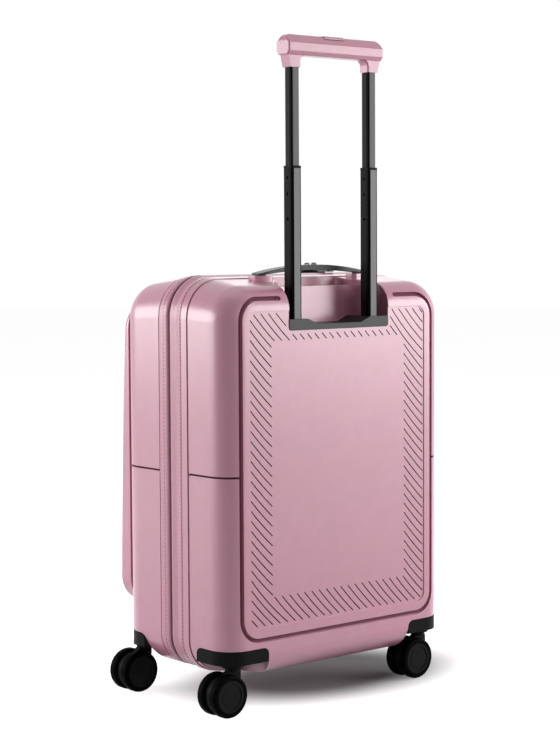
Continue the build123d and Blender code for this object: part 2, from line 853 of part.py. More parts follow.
with BuildPart() as zip_pulls:
    for x in pull_xs:
        with BuildSketch(Plane.YZ.offset(x - pull_width / 2)):
            with BuildLine():
                Polyline(*pull_points, close=True)
            make_face()
        extrude(amount=pull_width)
    fillet(zip_pulls.edges().filter_by(Axis.Y).group_by(Axis.Z)[-1], pull_width / 3)
write(zip_pulls.part, "zip_pulls")


# Casters: a bracket in the shell, a fork on a swivel pin and two wheels on one axle

def bracket(x, y):
    """Corner bracket that fills the upper part of a wheel well and carries the swivel pin."""
    with BuildPart() as piece:
        with BuildSketch(Plane.XY.offset(bracket_bottom)):
            with Locations((x, y)):
                Circle(well_radius - seat_gap)
        extrude(amount=well_top - bracket_bottom)
        fillet(piece.faces().sort_by(Axis.Z)[-1].edges(), well_round)
        add(plan_block(bracket_bottom, well_top), mode=Mode.INTERSECT)
        with BuildSketch(Plane.XY.offset(bracket_bottom)):
            with Locations((x, y)):
                Circle(boss_radius)
        extrude(amount=-boss_height)
        with BuildSketch(Plane.XY.offset(bracket_bottom - boss_height)):
            with Locations((x, y)):
                Circle(pin_radius + pin_gap)
        extrude(amount=pin_top + run_gap - bracket_bottom + boss_height, mode=Mode.SUBTRACT)
    return piece.part


def fork(x, y):
    """Swivel stem with a round web that stands between the twin wheels."""
    stem_top = bracket_bottom - boss_height - run_gap
    wheel_x = x - trail
    neck = [
        (x + stem_radius, stem_bottom),
        (x + stem_radius, stem_bottom - stem_radius),
        (wheel_x, wheel_radius),
        (wheel_x - stem_radius, wheel_radius + fork_radius / 2),
        (x - stem_radius, stem_bottom),
    ]
    with BuildPart() as piece:
        with BuildSketch(Plane.XZ.offset(-(y - fork_width / 2))):
            with Locations((wheel_x, wheel_radius)):
                Circle(fork_radius)
            with BuildLine():
                Polyline(*neck, close=True)
            make_face()
        extrude(amount=-fork_width)
        with BuildSketch(Plane.XY.offset(stem_bottom)):
            with Locations((x, y)):
                Circle(stem_radius)
        extrude(amount=stem_top - stem_bottom)
        with BuildSketch(Plane.XY.offset(pin_bottom)):
            with Locations((x, y)):
                Circle(pin_radius + pin_gap)
        extrude(amount=stem_top - pin_bottom, mode=Mode.SUBTRACT)
        with BuildSketch(Plane.XZ.offset(-(y - fork_width / 2))):
            with Locations((wheel_x, wheel_radius)):
                Circle(axle_radius + pin_gap)
        extrude(amount=-fork_width, mode=Mode.SUBTRACT)
    return piece.part


def wheel_ring(x, y, facing, points):
    """Solid of revolution about a wheel's axle; points are radius and distance out from the fork."""
    inner = y + facing * (fork_width / 2 + twin_gap)
    with BuildPart() as piece:
        with BuildSketch(Plane.XY.offset(wheel_radius)):
            with BuildLine():
                Polyline(*[(x + radius, inner + facing * out) for radius, out in points], close=True)
            make_face()
        revolve(axis=Axis((x, y, wheel_radius), (0, 1, 0)))
    return piece.part


tyre_inner = wheel_radius - tyre_depth
hub_radius = tyre_inner - pin_gap
tyre_points = [
    (tyre_inner, 0),
    (wheel_radius - tyre_round, 0),
    (wheel_radius - tyre_round / 4, tyre_round / 3),
    (wheel_radius, tyre_round),
    (wheel_radius, wheel_width - tyre_round),
    (wheel_radius - tyre_round / 4, wheel_width - tyre_round / 3),
    (wheel_radius - tyre_round, wheel_width),
    (tyre_inner, wheel_width),
]
axle_bore = axle_radius + pin_gap
hub_points = [
    (axle_bore, 0),
    (hub_radius, 0),
    (hub_radius, wheel_width),
    (hub_ring[1], wheel_width),
    (hub_ring[1], wheel_width - hub_ring_depth),
    (hub_ring[0], wheel_width - hub_ring_depth),
    (hub_ring[0], wheel_width - hub_dish),
    (0, wheel_width - hub_dish),
    (0, wheel_width - hub_face),
    (axle_bore, wheel_width - hub_face),
]
axle_half = fork_width / 2 + twin_gap + wheel_width - hub_face - run_gap

corners = {
    "rear_left": (-caster_x, rear_caster_y),
    "rear_right": (caster_x, rear_caster_y),
    "front_left": (-caster_x, front_caster_y),
    "front_right": (caster_x, front_caster_y),
}

for corner, (x, y) in corners.items():
    wheel_x = x - trail
    write(bracket(x, y), f"bracket_{corner}")
    write(fork(x, y), f"fork_{corner}")
    with BuildPart() as swivel_pin:
        with BuildSketch(Plane.XY.offset(pin_bottom)):
            with Locations((x, y)):
                Circle(pin_radius)
        extrude(amount=pin_top - pin_bottom)
    write(swivel_pin.part, f"swivel_pin_{corner}")
    with BuildPart() as axle:
        with BuildSketch(Plane.XZ.offset(-(y - axle_half))):
            with Locations((wheel_x, wheel_radius)):
                Circle(axle_radius)
        extrude(amount=-2 * axle_half)
    write(axle.part, f"axle_{corner}")
    for place, facing in (("back", -1), ("front", 1)):
        write(wheel_ring(wheel_x, y, facing, tyre_points), f"tyre_{corner}_{place}")
        write(wheel_ring(wheel_x, y, facing, hub_points), f"hub_{corner}_{place}")
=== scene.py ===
import math

import bpy
import numpy as np
from mathutils import Matrix, Vector
from mathutils.bvhtree import BVHTree


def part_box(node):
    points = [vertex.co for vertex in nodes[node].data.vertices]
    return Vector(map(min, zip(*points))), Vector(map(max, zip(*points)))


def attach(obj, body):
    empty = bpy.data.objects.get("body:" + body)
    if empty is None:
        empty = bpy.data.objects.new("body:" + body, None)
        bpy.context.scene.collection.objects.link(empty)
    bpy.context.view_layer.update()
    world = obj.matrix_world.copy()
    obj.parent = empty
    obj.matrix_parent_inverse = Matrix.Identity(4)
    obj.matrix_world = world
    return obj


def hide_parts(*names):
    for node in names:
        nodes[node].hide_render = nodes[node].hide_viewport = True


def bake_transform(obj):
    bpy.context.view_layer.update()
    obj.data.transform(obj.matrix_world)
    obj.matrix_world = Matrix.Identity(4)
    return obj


MM = 0.001
ARC_STEPS = 200

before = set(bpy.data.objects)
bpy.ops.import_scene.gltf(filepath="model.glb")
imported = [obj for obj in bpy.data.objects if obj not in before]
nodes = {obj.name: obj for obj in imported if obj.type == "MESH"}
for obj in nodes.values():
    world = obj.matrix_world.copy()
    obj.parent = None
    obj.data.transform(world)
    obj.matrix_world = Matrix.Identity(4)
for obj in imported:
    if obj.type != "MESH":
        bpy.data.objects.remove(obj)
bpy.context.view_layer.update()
scene = bpy.context.scene

# Sizes of the frame that the soft pieces follow, in millimetres.
band_low, band_high = (np.array(p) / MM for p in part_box("expander_band"))
tape_low, _ = (np.array(p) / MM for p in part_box("front_zip_tape"))
zip_low, zip_high = (np.array(p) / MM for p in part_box("pocket_zip"))
gusset_low, gusset_high = (np.array(p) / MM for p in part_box("gusset"))
band_y, tape_y = band_low[1], tape_low[1]
ZIP_Y = (band_high[1] + tape_y) / 2

# The case's outline. Its top falls, and its corners tighten, by a share of the distance from the zip.
TOP_FALL, TOP_CORNER, CORNER_FALL, BOTTOM_CORNER = 0.14, 53.0, 0.09, 45.0
HALF_WIDTH = band_high[0]
CASE_LOW, CASE_HIGH = band_low[2], band_high[2] + TOP_FALL * (ZIP_Y - band_high[1])

# The faces that the looks are measured from, in metres.
back_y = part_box("rear_shell")[0].y
front_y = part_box("front_shell")[1].y


# Geometry helpers. All take millimetres.

def mesh_piece(name, verts, faces, smooth=True):
    """A mesh object from points and faces."""
    mesh = bpy.data.meshes.new(name)
    mesh.from_pydata([tuple(float(c) * MM for c in v) for v in verts], [], faces)
    mesh.update()
    if smooth:
        mesh.shade_smooth()
    piece = bpy.data.objects.new(name, mesh)
    scene.collection.objects.link(piece)
    return piece


def rounded_outline(half_width, low, high, low_corner, high_corner):
    """Points round a rounded rectangle in XZ, back to the first one, and the outward direction at each."""
    corners = (
        (half_width - low_corner, low + low_corner, low_corner, -90),
        (half_width - high_corner, high - high_corner, high_corner, 0),
        (high_corner - half_width, high - high_corner, high_corner, 90),
        (low_corner - half_width, low + low_corner, low_corner, 180),
    )
    points, outward = [], []
    for x, z, radius, start in corners:
        for turn in np.linspace(math.radians(start), math.radians(start + 90), ARC_STEPS):
            points.append((x + radius * math.cos(turn), z + radius * math.sin(turn)))
            outward.append((math.cos(turn), math.sin(turn)))
    return np.array(points + points[:1]), np.array(outward + outward[:1])


def case_outline(y):
    """Outline of the case at one depth."""
    fall = abs(y - ZIP_Y)
    return rounded_outline(HALF_WIDTH, CASE_LOW, CASE_HIGH - TOP_FALL * fall,
                           BOTTOM_CORNER, TOP_CORNER - CORNER_FALL * fall)


def spaced(points, step):
    """Evenly spaced places along a closed line, as point numbers with fractions, and its length."""
    run = np.concatenate([[0], np.cumsum(np.hypot(*np.diff(points, axis=0).T))])
    at = np.linspace(0, run[-1], int(round(run[-1] / step)), endpoint=False)
    return np.interp(at, run, np.arange(len(run))), run[-1]


def sample(outline, places):
    """Points and outward directions of an outline at places from spaced."""
    numbers = np.arange(len(outline[0]))
    points, away = (np.stack([np.interp(places, numbers, part[:, i]) for i in (0, 1)], 1) for part in outline)
    return points, away / np.hypot(*away.T)[:, None]


def case_stations(y, step):
    """Evenly spaced (point, outward) round the case at one depth."""
    outline = case_outline(y)
    return list(zip(*sample(outline, spaced(outline[0], step)[0])))


def ring(name, sections):
    """A closed ring from one closed section of points per station."""
    count, size = len(sections), len(sections[0])
    verts = [p for section in sections for p in section]
    faces = []
    for i in range(count):
        j = (i + 1) % count
        for k in range(size):
            m = (k + 1) % size
            faces.append((i * size + k, i * size + m, j * size + m, j * size + k))
    return mesh_piece(name, verts, faces)


def swept_ring(name, profile, step):
    """A ring round the case from a closed profile of (depth under the outline, y), and its length."""
    places, length = spaced(case_outline(ZIP_Y)[0], step)
    lines = []
    for depth, y in profile:
        points, away = sample(case_outline(y), places)
        lines.append([(x, y, z) for x, z in points - depth * away])
    return ring(name, list(zip(*lines))), length


BRICK_FACES = ((0, 1, 2, 3), (7, 6, 5, 4), (0, 4, 5, 1), (1, 5, 6, 2), (2, 6, 7, 3), (3, 7, 4, 0))


def bricks(name, stations, along, y_low, y_high, depth_top, depth_low, slim):
    """Small blocks at stations (point, outward) in XZ, slimmer at the top: teeth and stitches."""
    centre, half_width = (y_low + y_high) / 2, (y_high - y_low) / 2
    verts, faces = [], []
    for point, out in stations:
        side = np.array((-out[1], out[0]))
        base = len(verts)
        for depth, share in ((depth_low, 1.0), (depth_top, slim)):
            mid = point - depth * out
            near, far = centre - half_width * share, centre + half_width * share
            for sign, y in ((-1, near), (1, near), (1, far), (-1, far)):
                x, z = mid + sign * side * along / 2 * share
                verts.append((x, y, z))
        faces += [tuple(base + i for i in f) for f in BRICK_FACES]
    return mesh_piece(name, verts, faces, smooth=False)


# Material helpers. Every look is made of nodes, in object coordinates, which are the part's own metres.

COAT_ROUGH, COAT_IOR, BEVEL_SAMPLES = 0.3, 1.8, 6
PATCH_DETAIL, PATCH_EDGES = 4.0, (0.35, 0.65)


def shader_input(made, name):
    """A socket of a look's shader."""
    return made.node_tree.nodes["Principled BSDF"].inputs[name]


def material(name, colour, rough, metal=0.0, specular=0.5, coat=0.0, bevel=0.0):
    """A new look; its bevel, in millimetres, softens the light on sharp edges."""
    made = bpy.data.materials.new(name)
    made.use_nodes = True
    for socket, value in (
        ("Base Color", (*colour, 1)), ("Roughness", rough), ("Metallic", metal),
        ("Specular IOR Level", specular), ("Coat Weight", coat), ("Coat Roughness", COAT_ROUGH),
        ("Coat IOR", COAT_IOR),
    ):
        shader_input(made, socket).default_value = value
    if bevel:
        edge = made.node_tree.nodes.new("ShaderNodeBevel")
        edge.samples = BEVEL_SAMPLES
        edge.inputs["Radius"].default_value = bevel * MM
        made.node_tree.links.new(edge.outputs["Normal"], shader_input(made, "Normal"))
    return made


def add_bump(made, height, strength, distance):
    """Lay a bump, its distance in millimetres, over what bends the shader's normal so far."""
    tree = made.node_tree
    normal = shader_input(made, "Normal")
    bump = tree.nodes.new("ShaderNodeBump")
    bump.inputs["Strength"].default_value = strength
    bump.inputs["Distance"].default_value = distance * MM
    tree.links.new(height, bump.inputs["Height"])
    for link in list(normal.links):
        tree.links.new(link.from_socket, bump.inputs["Normal"])
    tree.links.new(bump.outputs["Normal"], normal)


def place(made, kind="Object"):
    """Coordinates of a point of the surface, or its object-space normal."""
    return made.node_tree.nodes.new("ShaderNodeTexCoord").outputs[kind]


def axes(made, kind="Object"):
    """The X, Y and Z of place."""
    split = made.node_tree.nodes.new("ShaderNodeSeparateXYZ")
    made.node_tree.links.new(place(made, kind), split.inputs["Vector"])
    return split.outputs["X"], split.outputs["Y"], split.outputs["Z"]


def noise(made, scale, detail, stretch=None):
    """Noise from 0 to 1; stretch scales it along each axis."""
    tree = made.node_tree
    source = place(made)
    if stretch:
        mapping = tree.nodes.new("ShaderNodeMapping")
        mapping.inputs["Scale"].default_value = stretch
        tree.links.new(source, mapping.inputs["Vector"])
        source = mapping.outputs["Vector"]
    grain = tree.nodes.new("ShaderNodeTexNoise")
    grain.inputs["Scale"].default_value = scale
    grain.inputs["Detail"].default_value = detail
    tree.links.new(source, grain.inputs["Vector"])
    return grain.outputs["Fac"]


def calc(made, kind, first, second=0.0, third=0.0):
    """One step of arithmetic on numbers or sockets."""
    tree = made.node_tree
    step = tree.nodes.new("ShaderNodeMath")
    step.operation = kind
    for socket, value in zip(step.inputs, (first, second, third)):
        if isinstance(value, (int, float)):
            socket.default_value = value
        else:
            tree.links.new(value, socket)
    return step.outputs[0]


def product(made, first, *others):
    """Numbers or sockets multiplied."""
    for other in others:
        first = calc(made, "MULTIPLY", first, other)
    return first


def above_zero(made, value):
    return calc(made, "MAXIMUM", value, 0.0)


def diagonal(made, first, second):
    """Length of a step with two parts at right angles."""
    return calc(made, "SQRT", calc(made, "ADD", product(made, first, first), product(made, second, second)))


def ramp(made, value, low, high):
    """Smooth rise from 0 to 1 between two values, or a fall where low is above high."""
    tree = made.node_tree
    step = tree.nodes.new("ShaderNodeMapRange")
    step.interpolation_type = "SMOOTHSTEP"
    step.inputs["From Min"].default_value = low
    step.inputs["From Max"].default_value = high
    tree.links.new(value, step.inputs["Value"])
    return step.outputs["Result"]


def ramp_mm(made, value, low, high):
    """A ramp between two values in millimetres."""
    return ramp(made, value, low * MM, high * MM)


def mixed(made, mask, low, high):
    """Two colours mixed by a mask; either may be a colour or a socket."""
    tree = made.node_tree
    mix = tree.nodes.new("ShaderNodeMix")
    mix.data_type = "RGBA"
    tree.links.new(mask, mix.inputs["Factor"])
    for socket, colour in ((mix.inputs["A"], low), (mix.inputs["B"], high)):
        if isinstance(colour, tuple):
            socket.default_value = (*colour, 1)
        else:
            tree.links.new(colour, socket)
    return mix.outputs["Result"]


def paint(made, colour):
    made.node_tree.links.new(colour, shader_input(made, "Base Color"))
    return made


def patchy(made, low, high, scale):
    """A slight unevenness between two close colours."""
    return mixed(made, ramp(made, noise(made, scale, PATCH_DETAIL), *PATCH_EDGES), low, high)


def scaled(colour, share):
    return tuple(part * share for part in colour)


def grained(name, colour, low, high, patch, rough, grain, detail, strength, height, **finish):
    """A plain look: patches of two close colours, and a fine grain as a bump of this height."""
    made = material(name, colour, rough, **finish)
    add_bump(made, noise(made, grain, detail), strength, height)
    return paint(made, patchy(made, low, high, patch))


# Pink plastic of the shells, the pocket door and the grip.
PINK = (0.66, 0.262, 0.374)
SHELL_SHADE, SHELL_PATCH = scaled(PINK, 0.97), 60
SHELL_ROUGH, SHELL_COAT = 0.4, 1.0


def pink_plastic(name, shade=SHELL_SHADE, patch=SHELL_PATCH, rough=SHELL_ROUGH, coat=SHELL_COAT):
    """Satin moulded pink with a fine grain."""
    return grained(name, PINK, shade, PINK, patch, rough, grain=1400, detail=3.0, strength=0.12, height=0.2,
                   specular=0.1, coat=coat, bevel=0.9)


# Faint level ribs on the shells' sides, in millimetres.
RIB_PITCH, RIB_START, RIB_FADE, RIB_STRENGTH, RIB_HEIGHT = 3.0, 150.0, 12.0, 0.1, 0.12


def shell_plastic(name):
    """Pink plastic with ribs on the sides, and the places (distance from the middle, y, z) for its marks."""
    made = pink_plastic(name)
    x, y, z = axes(made)
    wide = calc(made, "ABSOLUTE", x)
    ribs = calc(made, "SINE", calc(made, "MULTIPLY", z, 2 * math.pi / (RIB_PITCH * MM)))
    on_side = ramp_mm(made, wide, RIB_START, RIB_START + RIB_FADE)
    add_bump(made, product(made, ribs, on_side), RIB_STRENGTH, RIB_HEIGHT)
    return made, (wide, y, z)


# Painted shade in the shells' cuts: the hatch, the upper part of the line across the sides and the frame
# groove. Sizes in millimetres.
HATCH_PAINTED_SHADE, LINE_PAINTED_SHADOW, GROOVE_PAINTED_SHADE = (0.05, 0.006, 0.018), scaled(PINK, 0.12), scaled(PINK, 0.38)
PAINTED_SHADE_ROUGH, MARK_SOFT, END_SOFT = 0.9, 0.5, 1.0

# The line across the sides: the height of its painted shadow, how deep under the skin that paint reaches, and
# its end at the rear bead.
LINE_LOW, LINE_HIGH, LINE_SOFT = 299.2, 302.0, 0.3
LINE_DEPTH, LINE_DEPTH_SOFT, LINE_END = 2.0, 0.2, 74.4

# Radius of the rounded edge of each shell.
FRONT_EDGE, REAR_EDGE = 41.0, 32.0

# The back panel, where its hatch starts and ends under its face, and the zone at the base plate with none.
PANEL_HALF, PANEL_LOW, PANEL_HIGH, PANEL_DEPTH = 151.0, 109.0, 504.0, 1.0
HATCH_RISE, HATCH_FALL = (0.03, 0.12), (1.35, 1.08)
PLATE_ZONE_HALF, PLATE_ZONE_LOW = 90.0, 476.0

# The frame groove, a rounded rectangle in XZ that is open at its top, and its reach round the shell's edge.
GROOVE_HALF, GROOVE_LOW, GROOVE_HIGH, GROOVE_CORNER = 165.0, 93.0, 521.0, 28.0
GROOVE_WIDTH, GROOVE_SOFT, GROOVE_END = 5.6, 0.6, 100.0
GROOVE_REACH, FACING_BACK = (14.0, 12.0), (0.6, 0.4)


def line_shadow_mask(made, places, outward, face_y, edge):
    """Painted shadow in the upper part of the line cut across a shell's sides. It marks only the skin, by the
    distance round the shell's edge.
    """
    wide, y, z = places
    over_x = calc(made, "SUBTRACT", wide, (HALF_WIDTH - edge) * MM)
    over_y = calc(made, "MULTIPLY_ADD", y, outward, edge * MM - outward * face_y)
    reach = diagonal(made, above_zero(made, over_x), above_zero(made, over_y))
    under = edge - LINE_DEPTH
    return product(
        made,
        ramp_mm(made, z, LINE_LOW, LINE_LOW + LINE_SOFT),
        ramp_mm(made, z, LINE_HIGH, LINE_HIGH - LINE_SOFT),
        ramp_mm(made, wide, GROOVE_HALF, GROOVE_HALF + END_SOFT),
        ramp_mm(made, reach, under, under + LINE_DEPTH_SOFT),
    )


def hatch_shade_mask(made, wide, z, deep):
    """Painted shade on the floor of the hatch cut in the back panel: under its face, within its edge and
    beside the plate's zone.
    """
    beside_plate = calc(
        made, "MAXIMUM",
        ramp_mm(made, z, PLATE_ZONE_LOW, PLATE_ZONE_LOW - MARK_SOFT),
        ramp_mm(made, wide, PLATE_ZONE_HALF, PLATE_ZONE_HALF + MARK_SOFT),
    )
    return product(
        made,
        ramp_mm(made, deep, *(PANEL_DEPTH + under for under in HATCH_RISE)),
        ramp_mm(made, deep, *(PANEL_DEPTH + under for under in HATCH_FALL)),
        ramp_mm(made, wide, PANEL_HALF + MARK_SOFT, PANEL_HALF),
        ramp_mm(made, z, PANEL_LOW - MARK_SOFT, PANEL_LOW),
        ramp_mm(made, z, PANEL_HIGH + MARK_SOFT, PANEL_HIGH),
        beside_plate,
    )


def groove_shade_mask(made, wide, z, deep):
    """Painted shade in the frame groove, by the distance from its middle line."""
    middle, rise = (GROOVE_LOW + GROOVE_HIGH) / 2, (GROOVE_HIGH - GROOVE_LOW) / 2
    over_x = calc(made, "SUBTRACT", wide, (GROOVE_HALF - GROOVE_CORNER) * MM)
    off_middle = calc(made, "ABSOLUTE", calc(made, "SUBTRACT", z, middle * MM))
    over_z = calc(made, "SUBTRACT", off_middle, (rise - GROOVE_CORNER) * MM)
    past_corner = diagonal(made, above_zero(made, over_x), above_zero(made, over_z))
    inside = calc(made, "MINIMUM", calc(made, "MAXIMUM", over_x, over_z), 0.0)
    from_corner = calc(made, "ADD", past_corner, inside)
    off_line = calc(made, "ABSOLUTE", calc(made, "SUBTRACT", from_corner, GROOVE_CORNER * MM))
    beside_opening = calc(
        made, "MAXIMUM",
        ramp_mm(made, wide, GROOVE_END, GROOVE_END + END_SOFT),
        ramp_mm(made, z, middle + END_SOFT, middle),
    )
    # The groove's floor faces back and its walls sideways. The shell's inside faces front and stays pink.
    _, facing, _ = axes(made, "Normal")
    return product(
        made,
        ramp_mm(made, off_line, GROOVE_WIDTH / 2, GROOVE_WIDTH / 2 - GROOVE_SOFT),
        beside_opening,
        ramp(made, facing, *FACING_BACK),
        ramp_mm(made, deep, *GROOVE_REACH),
    )


def paint_shell_shade(made, *marks):
    """Paint shade into a shell's cuts, each a mask and a dark colour; the painted shade is dull and has no
    coat.
    """
    tone = shader_input(made, "Base Color").links[0].from_socket
    dull = 0.0
    for mask, colour in marks:
        tone = mixed(made, mask, tone, colour)
        dull = calc(made, "MAXIMUM", dull, mask)
    rough = calc(made, "MULTIPLY_ADD", dull, PAINTED_SHADE_ROUGH - SHELL_ROUGH, SHELL_ROUGH)
    made.node_tree.links.new(rough, shader_input(made, "Roughness"))
    made.node_tree.links.new(calc(made, "SUBTRACT", SHELL_COAT, dull), shader_input(made, "Coat Weight"))
    paint(made, tone)


front_look, front_places = shell_plastic("front_shell_pink")
# The upper part of the line cut across the front shell's sides is painted dark as shadow.
paint_shell_shade(front_look, (line_shadow_mask(front_look, front_places, 1.0, front_y, FRONT_EDGE), LINE_PAINTED_SHADOW))

rear_look, rear_places = shell_plastic("rear_shell_pink")
rear_wide, rear_y, rear_z = rear_places
rear_deep = calc(rear_look, "SUBTRACT", rear_y, back_y)
rear_line_shadow = product(rear_look, line_shadow_mask(rear_look, rear_places, -1.0, back_y, REAR_EDGE),
                    ramp_mm(rear_look, rear_deep, LINE_END, LINE_END - MARK_SOFT))
# The rear shell gets painted shade in its frame groove and hatch, and painted shadow in its side line.
paint_shell_shade(
    rear_look,
    (groove_shade_mask(rear_look, rear_wide, rear_z, rear_deep), GROOVE_PAINTED_SHADE),
    (rear_line_shadow, LINE_PAINTED_SHADOW),
    (hatch_shade_mask(rear_look, rear_wide, rear_z, rear_deep), HATCH_PAINTED_SHADE),
)

door_look = pink_plastic("door_pink")
grip_look = pink_plastic("grip_pink", scaled(PINK, 0.96), patch=90, rough=0.42, coat=0.75)

# Woven cloth of the band, the tape and the pocket zip; the weave is in radians to the metre.
WEAVE = 6000.0
fabric = material("band_fabric", PINK, rough=0.46, specular=0.2, coat=0.7)
weave_x, weave_y, weave_z = axes(fabric)
warp = calc(fabric, "SINE", calc(fabric, "MULTIPLY", weave_y, WEAVE))
weft = calc(fabric, "SINE", calc(fabric, "MULTIPLY", calc(fabric, "ADD", weave_x, weave_z), WEAVE))
weave = calc(fabric, "ADD", product(fabric, warp, weft), noise(fabric, scale=900, detail=3.0))
add_bump(fabric, weave, strength=0.25, distance=0.2)
paint(fabric, patchy(fabric, scaled(PINK, 0.94), PINK, scale=260))

# Plain looks: a flat colour where nodes aren't read, two close shades in patches, the finish and the grain.
thread = grained(
    "thread", (0.30, 0.10, 0.155), (0.24, 0.08, 0.12), (0.34, 0.12, 0.18), patch=900,
    rough=0.8, specular=0.2, grain=2500, detail=2.0, strength=0.3, height=0.2)
lining = grained(
    "lining_fabric", (0.10, 0.10, 0.11), (0.085, 0.085, 0.095), (0.115, 0.115, 0.125), patch=500,
    rough=0.85, specular=0.2, grain=700, detail=3.0, strength=0.4, height=0.3)
gusset_look = grained(
    "gusset_fabric", (0.40, 0.15, 0.22), (0.36, 0.135, 0.195), (0.43, 0.165, 0.24), patch=400,
    rough=0.85, specular=0.2, grain=900, detail=3.0, strength=0.4, height=0.3)
zip_look = grained(
    "zip_teeth", (0.16, 0.055, 0.085), (0.13, 0.045, 0.07), (0.18, 0.065, 0.095), patch=700,
    rough=0.5, specular=0.3, grain=1200, detail=2.0, strength=0.1, height=0.1)
trim = grained(
    "trim_black", (0.006, 0.006, 0.0065), (0.005, 0.005, 0.0055), (0.008, 0.008, 0.0085), patch=300,
    rough=0.45, specular=0.05, bevel=0.8, grain=1600, detail=2.0, strength=0.12, height=0.15)
handle_look = grained(
    "carry_black", (0.012, 0.012, 0.013), (0.010, 0.010, 0.011), (0.016, 0.016, 0.017), patch=300,
    rough=0.4, specular=0.3, bevel=1.0, grain=1200, detail=2.0, strength=0.15, height=0.2)
steel = grained(
    "steel", (0.55, 0.55, 0.56), (0.50, 0.50, 0.51), (0.58, 0.58, 0.59), patch=400,
    rough=0.3, metal=1.0, grain=900, detail=2.0, strength=0.05, height=0.1)
pull_look = grained(
    "pull_black", (0.012, 0.012, 0.013), (0.010, 0.010, 0.011), (0.016, 0.016, 0.017), patch=400,
    rough=0.35, specular=0.3, bevel=0.4, grain=900, detail=2.0, strength=0.05, height=0.1)
tyre_look = grained(
    "tyre_rubber", (0.0015, 0.0015, 0.0016), (0.001, 0.001, 0.0011), (0.002, 0.002, 0.0021), patch=250,
    rough=0.45, specular=0.012, bevel=0.6, grain=1000, detail=2.0, strength=0.15, height=0.2)
hub_look = grained(
    "hub_black", (0.009, 0.009, 0.0095), (0.008, 0.008, 0.0085), (0.010, 0.010, 0.0105), patch=300,
    rough=0.4, specular=0.05, bevel=0.4, grain=1200, detail=2.0, strength=0.05, height=0.1)

# Base plate: grey on its back face, and black from just under it.
PLATE_GREYS = ((0.09, 0.088, 0.089), (0.11, 0.108, 0.109))
PLATE_BLACK, PLATE_FACE = (0.007, 0.007, 0.0075), (0.4, 1.0)
plate_look = material("plate_grey", (0.10, 0.098, 0.099), rough=0.5, specular=0.2, bevel=0.8)
add_bump(plate_look, noise(plate_look, scale=1600, detail=2.0), strength=0.15, distance=0.2)
plate_tone = mixed(plate_look, noise(plate_look, scale=300, detail=4.0), *PLATE_GREYS)
plate_deep = calc(plate_look, "SUBTRACT", axes(plate_look)[1], back_y)
paint(plate_look, mixed(plate_look, ramp_mm(plate_look, plate_deep, *PLATE_FACE), plate_tone, PLATE_BLACK))

# Trolley tubes: anodised, with drawn lines along them, pale on the faces to the back and front.
# Their sides are painted darker as shade, with a black band of painted dark reflection next to the back face.
TUBE_HALF_SPACING, TUBE_INSET, TUBE_FACE_HALF, TUBE_FACE_SOFT = 66.0, 16.0, 4.6, 0.7
TUBE_BAND, TUBE_BAND_SOFT, TUBE_EDGE_PAINTED_DARK = 5.0, 1.0, (0.001, 0.001, 0.001)
TUBE_LINES, TUBE_STREAKS = (8, 8, 0.05), (1, 1, 0.02)
TUBE_DARK, TUBE_LIGHT = (0.93, 0.92, 0.93), (1.07, 1.06, 1.07)


def anodised_tube(name, half_depth, face, side):
    """A tube with a pale face, sides painted darker as shade, and a black band of painted dark reflection
    along the edge between them.
    """
    made = material(name, (face, face, face), rough=0.45, specular=0.03, bevel=0.6)
    add_bump(made, noise(made, scale=300, detail=2.0, stretch=TUBE_LINES), strength=0.05, distance=0.1)
    x, y, _ = axes(made)
    off_middle = calc(made, "SUBTRACT", calc(made, "ABSOLUTE", x), TUBE_HALF_SPACING * MM)
    across = calc(made, "ABSOLUTE", off_middle)
    depth = calc(made, "SUBTRACT", y, back_y + (TUBE_INSET - half_depth) * MM)
    past_band = ramp_mm(made, depth, TUBE_BAND, TUBE_BAND + TUBE_BAND_SOFT)
    side_painted_shade = mixed(made, past_band, TUBE_EDGE_PAINTED_DARK, (side, side, side))
    streaks = noise(made, scale=500, detail=2.0, stretch=TUBE_STREAKS)
    face_tone = mixed(made, streaks, scaled(TUBE_DARK, face), scaled(TUBE_LIGHT, face))
    off_face = ramp_mm(made, across, TUBE_FACE_HALF, TUBE_FACE_HALF + TUBE_FACE_SOFT)
    return paint(made, mixed(made, off_face, face_tone, side_painted_shade))


# The side value is the grey of the painted shade on the tube's sides.
upper_tube_look = anodised_tube("upper_tube_grey", half_depth=7.5, face=0.27, side=0.045)
mid_tube_look = anodised_tube("mid_tube_grey", half_depth=9.0, face=0.38, side=0.018)

# The look of each CAD node, by the start of its name.
NODE_LOOKS = (
    ("rear_shell", rear_look), ("front_shell", front_look), ("pocket_door", door_look),
    ("grip", grip_look), ("expander_band", fabric), ("front_zip_tape", fabric),
    ("gusset", gusset_look), ("pocket_liner", lining), ("rear_zip_teeth", zip_look),
    ("front_zip_teeth", zip_look), ("pocket_zip", zip_look), ("base_plate", plate_look),
    ("tube_foot", trim), ("carry_mount", door_look), ("carry_handle", handle_look),
    ("mid_bushes", trim), ("lock_body", trim), ("bracket", trim), ("fork", trim),
    ("outer_tube", mid_tube_look), ("mid_tube", mid_tube_look), ("upper_tube", upper_tube_look),
    ("release_link", steel), ("zip_pulls", pull_look), ("tyre", tyre_look),
    ("hub", hub_look), ("swivel_pin", steel), ("axle", steel),
)
for name, node in nodes.items():
    look = next(m for start, m in NODE_LOOKS if name.startswith(start))
    node.data.materials.clear()
    node.data.materials.append(look)


def dress(piece, look, body, slot, *replaced):
    """Give a piece its look and its body, and hide the nodes that it stands for. The slot is not used."""
    piece.data.materials.append(look)
    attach(piece, body)
    if replaced:
        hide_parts(*replaced)


